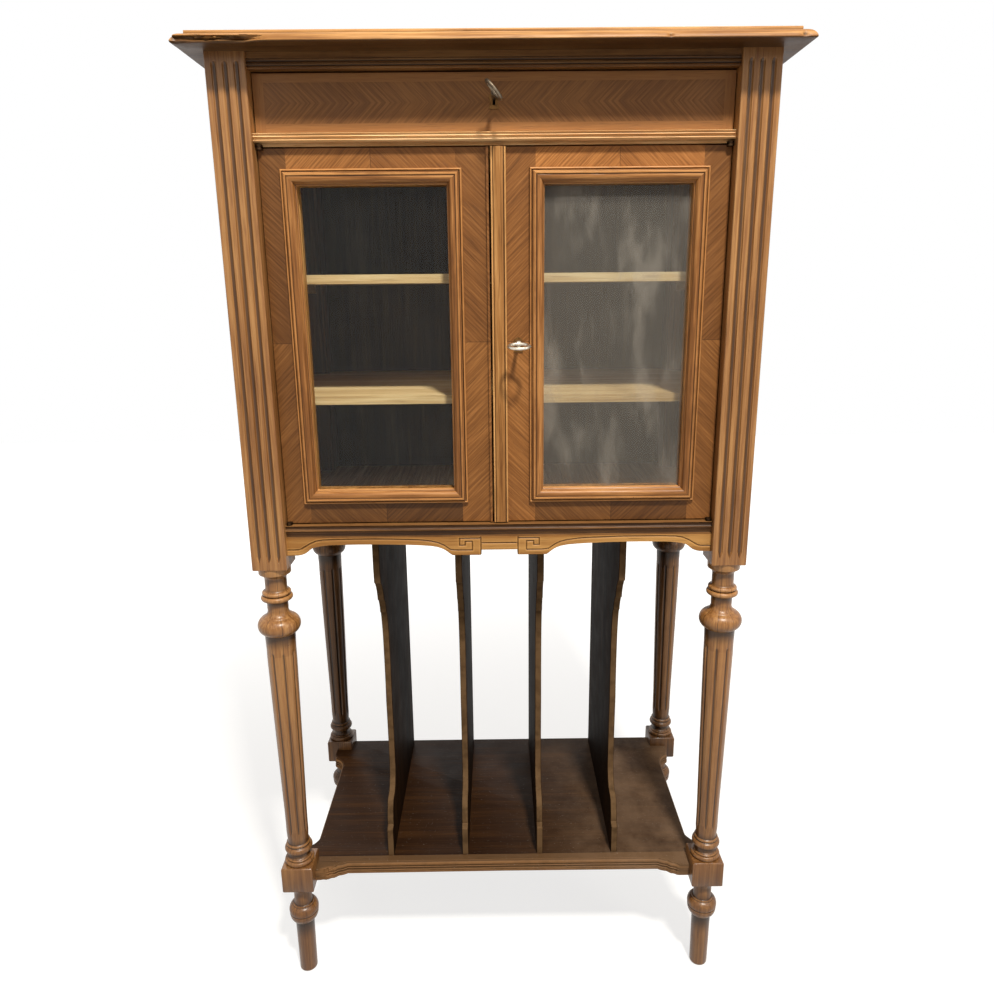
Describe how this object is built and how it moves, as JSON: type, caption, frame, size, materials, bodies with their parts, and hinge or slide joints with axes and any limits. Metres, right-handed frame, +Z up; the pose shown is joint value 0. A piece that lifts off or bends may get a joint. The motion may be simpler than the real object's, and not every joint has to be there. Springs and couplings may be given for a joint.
{
  "type": "music cabinet",
  "caption": "Tall glazed cupboard with a drawer on turned, fluted legs, over an open shelf with upright music dividers; doors, drawer, keys and bolts move.",
  "frame": {"origin": "on the floor, under the middle of the top board's outline", "axes": "+X to the right as seen from the doors, +Y to the back, +Z up"},
  "size_m": [0.752, 0.444, 1.389],
  "materials": {
    "case_wood": "aged polish",
    "stand_wood": "aged polish, dull",
    "herringbone_veneer": "polished veneer",
    "plain_interior_wood": "raw",
    "back_wood": "raw, aged",
    "bevelled_glass": "clear, bevelled",
    "old_brass": "dulled",
    "key_steel": "worn plating",
    "lock_steel": "dark"
  },
  "bodies": {
    "case": {"leg_front_left": "stand_wood", "leg_front_right": "stand_wood", "leg_back_left": "stand_wood", "leg_back_right": "stand_wood", "top_board": "case_wood", "frieze_rail": "case_wood", "drawer_rail": "case_wood", "base_rail": "case_wood", "apron_front": "case_wood", "side_panel_left": "case_wood", "side_panel_right": "case_wood", "side_apron_left": "case_wood", "side_apron_right": "case_wood", "back_rails": "back_wood", "back_panel": "back_wood", "case_floor": "plain_interior_wood", "dust_board": "plain_interior_wood", "drawer_runners": "plain_interior_wood", "shelf_lower": "plain_interior_wood", "shelf_upper": "plain_interior_wood", "shelf_cleats": "plain_interior_wood", "music_shelf": "stand_wood", "music_divider_1": "stand_wood", "music_divider_2": "stand_wood", "music_divider_3": "stand_wood", "music_divider_4": "stand_wood", "case_pivots": "old_brass"},
    "left_door": {"left_door_hinge_stile": "herringbone_veneer", "left_door_meeting_stile": "herringbone_veneer", "left_door_top_rail": "herringbone_veneer", "left_door_bottom_rail": "herringbone_veneer", "left_door_moulding": "case_wood", "left_door_glass": "bevelled_glass", "left_door_glazing_beads": "case_wood", "left_door_pivot_plates": "old_brass", "left_door_bolt_guides": "lock_steel", "left_door_lock_keeper": "lock_steel"},
    "left_upper_bolt": {"left_door_upper_bolt": "lock_steel"},
    "left_lower_bolt": {"left_door_lower_bolt": "lock_steel"},
    "right_door": {"right_door_hinge_stile": "herringbone_veneer", "right_door_meeting_stile": "herringbone_veneer", "right_door_top_rail": "herringbone_veneer", "right_door_bottom_rail": "herringbone_veneer", "right_door_moulding": "case_wood", "right_door_glass": "bevelled_glass", "right_door_glazing_beads": "case_wood", "right_door_pivot_plates": "old_brass", "right_door_astragal": "case_wood", "right_door_lock_case": "lock_steel", "right_door_escutcheon": "old_brass"},
    "door_key": {"right_door_key": "key_steel"},
    "door_lock_bolt": {"right_door_lock_bolt": "lock_steel"},
    "drawer": {"drawer_front": "herringbone_veneer", "drawer_sides": "plain_interior_wood", "drawer_back": "plain_interior_wood", "drawer_bottom": "plain_interior_wood", "drawer_lock_case": "lock_steel", "drawer_escutcheon": "old_brass"},
    "drawer_key": {"drawer_key": "key_steel"},
    "drawer_lock_bolt": {"drawer_lock_bolt": "lock_steel"}
  },
  "joints": [
    {"name": "left_door_hinge", "type": "hinge", "parent": "case", "child": "left_door", "pos_m": [-0.2965, -0.169, 0], "axis": [0, 0, -1], "range_deg": [0, 100]},
    {"name": "right_door_hinge", "type": "hinge", "parent": "case", "child": "right_door", "pos_m": [0.2965, -0.169, 0], "axis": [0, 0, 1], "range_deg": [0, 100]},
    {"name": "drawer_slide", "type": "slide", "parent": "case", "child": "drawer", "axis": [0, -1, 0], "range_m": [0, 0.28]},
    {"name": "door_key_turn", "type": "hinge", "parent": "right_door", "child": "door_key", "pos_m": [0.028, -0.184, 1.0235], "axis": [0, 1, 0], "range_deg": [0, 270]},
    {"name": "door_bolt_slide", "type": "slide", "parent": "right_door", "child": "door_lock_bolt", "axis": [-1, 0, 0], "range_m": [0, 0.014]},
    {"name": "drawer_key_turn", "type": "hinge", "parent": "drawer", "child": "drawer_key", "pos_m": [-0.001, -0.184, 1.3235], "axis": [0, 1, 0], "range_deg": [0, 270]},
    {"name": "drawer_bolt_slide", "type": "slide", "parent": "drawer", "child": "drawer_lock_bolt", "axis": [0, 0, 1], "range_m": [0, 0.011]},
    {"name": "left_upper_bolt_slide", "type": "slide", "parent": "left_door", "child": "left_upper_bolt", "axis": [0, 0, 1], "range_m": [0, 0.009]},
    {"name": "left_lower_bolt_slide", "type": "slide", "parent": "left_door", "child": "left_lower_bolt", "axis": [0, 0, -1], "range_m": [0, 0.009]}
  ],
  "couplings": [
    {"joint": "door_bolt_slide", "follows": "door_key_turn", "m_per_rad": 0.00297},
    {"joint": "drawer_bolt_slide", "follows": "drawer_key_turn", "m_per_rad": 0.002334}
  ]
}
